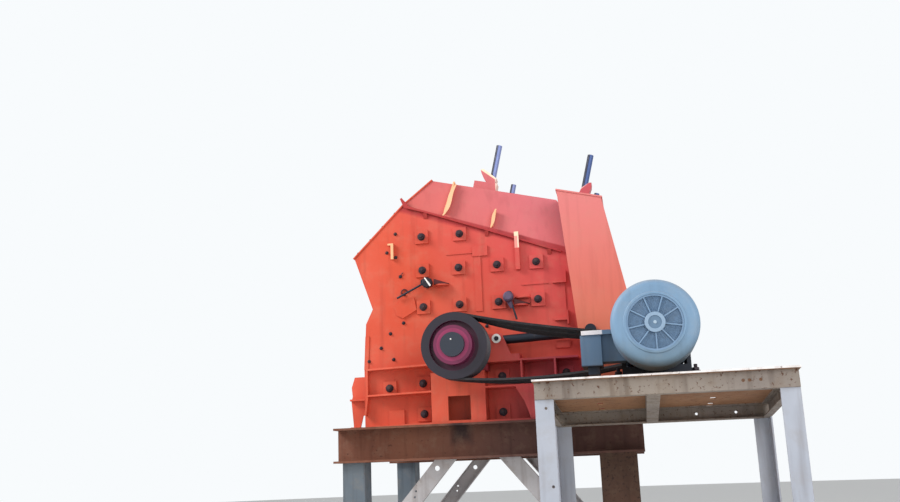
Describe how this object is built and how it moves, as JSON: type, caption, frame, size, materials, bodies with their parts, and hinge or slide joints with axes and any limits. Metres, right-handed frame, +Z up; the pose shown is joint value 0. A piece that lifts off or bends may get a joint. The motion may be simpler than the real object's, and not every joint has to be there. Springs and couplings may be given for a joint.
{
  "type": "impact crusher",
  "caption": "Two-apron impact crusher on a steel base frame, with a hinged rear housing, rotor, V-belt drive and a motor on its own platform.",
  "frame": {"origin": "centre of the sole of the front column on the drive side", "axes": "+X from the feed inlet towards the motor, +Y away from the drive side, +Z up"},
  "size_m": [3.682, 3.941, 4.6471],
  "materials": {
    "housing_paint": "orange-red enamel, dusty",
    "rear_paint": "salmon-red enamel, faded",
    "frame_steel": "brown primer with rust",
    "column_paint": "grey paint",
    "platform_paint": "weathered grey-white paint",
    "platform_plate_steel": "brown rusty plate",
    "motor_paint": "light blue-grey enamel",
    "guard_steel": "darker blue-grey enamel",
    "pulley_iron": "dark oxide with a magenta-red painted recess",
    "belt_rubber": "matt black",
    "rod_steel": "dark oiled steel",
    "shaft_steel": "turned steel",
    "rotor_iron": "worn iron",
    "liner_iron": "worn liner",
    "bearing_paint": "dark red enamel"
  },
  "bodies": {
    "frame": {"base_beam_near": "frame_steel", "base_beam_far": "frame_steel", "base_cross_beams": "frame_steel", "front_columns": "column_paint", "rear_columns": "frame_steel", "knee_braces": "platform_paint", "lower_side_near": "housing_paint", "lower_side_far": "housing_paint", "lower_front_wall": "housing_paint", "lower_rear_wall": "housing_paint", "bearing_pedestals": "housing_paint", "bearing_housings": "bearing_paint", "upper_side_near": "housing_paint", "upper_side_far": "housing_paint", "upper_front_wall": "housing_paint", "hood_side_near": "rear_paint", "hood_side_far": "rear_paint", "roof": "rear_paint", "inlet_flange": "housing_paint", "front_apron": "liner_iron", "front_apron_shaft": "shaft_steel", "front_apron_hangers": "housing_paint", "front_rod_brackets": "rear_paint", "front_adjusting_rods": "rod_steel", "hinge_brackets": "housing_paint", "hinge_pins": "rod_steel", "lift_anchor_brackets": "housing_paint", "lift_anchor_pins": "shaft_steel", "motor_body": "motor_paint", "fan_cowl": "motor_paint", "fan_grille": "guard_steel", "motor_feet": "motor_paint", "hand_levers": "rod_steel", "motor_rails": "rod_steel", "junction_box": "guard_steel", "v_belts": "belt_rubber", "platform_plate": "platform_plate_steel", "platform_beams": "platform_paint", "platform_cross_members": "platform_paint", "platform_legs": "platform_paint"},
    "rear_housing": {"rear_side_near": "rear_paint", "rear_side_far": "rear_paint", "rear_back_plate": "rear_paint", "rear_top_plate": "rear_paint", "rear_front_flanges": "rear_paint", "rear_apron": "liner_iron", "rear_apron_shaft": "shaft_steel", "rear_rod_brackets": "rear_paint", "rear_adjusting_rods": "rod_steel", "lift_boss_pins": "rod_steel"},
    "lift_barrels_body": {"lift_barrels": "rod_steel"},
    "lift_rods_body": {"lift_rods": "shaft_steel"},
    "rotor": {"rotor_shaft": "shaft_steel", "rotor_discs": "rotor_iron", "blow_bars": "rotor_iron", "driven_pulley": "pulley_iron"},
    "motor_rotor": {"motor_shaft": "shaft_steel", "motor_pulley": "pulley_iron", "motor_fan": "guard_steel"}
  },
  "joints": [
    {"name": "rear_housing_open", "type": "hinge", "parent": "frame", "child": "rear_housing", "pos_m": [2.19, 0.95, 2.14], "axis": [0, 1, 0], "range_deg": [0, 25]},
    {"name": "lift_swing", "type": "hinge", "parent": "frame", "child": "lift_barrels_body", "pos_m": [1.31, 0.95, 2.709], "axis": [0, 1, 0], "range_deg": [0, 1.6]},
    {"name": "lift_extend", "type": "slide", "parent": "lift_barrels_body", "child": "lift_rods_body", "axis": [0.9994, 0, 0.0355], "range_m": [0, 0.262]},
    {"name": "rotor_spin", "type": "hinge", "parent": "frame", "child": "rotor", "pos_m": [0.99, 0.95, 2.632], "axis": [0, 1, 0], "continuous": true},
    {"name": "motor_spin", "type": "hinge", "parent": "frame", "child": "motor_rotor", "pos_m": [2.627, -0.6, 2.537], "axis": [0, 1, 0], "continuous": true}
  ],
  "couplings": [
    {"joint": "lift_swing", "follows": "rear_housing_open", "ratio": 0.06347},
    {"joint": "lift_extend", "follows": "rear_housing_open", "m_per_rad": 0.5954},
    {"joint": "motor_spin", "follows": "rotor_spin", "ratio": 2.7843}
  ]
}
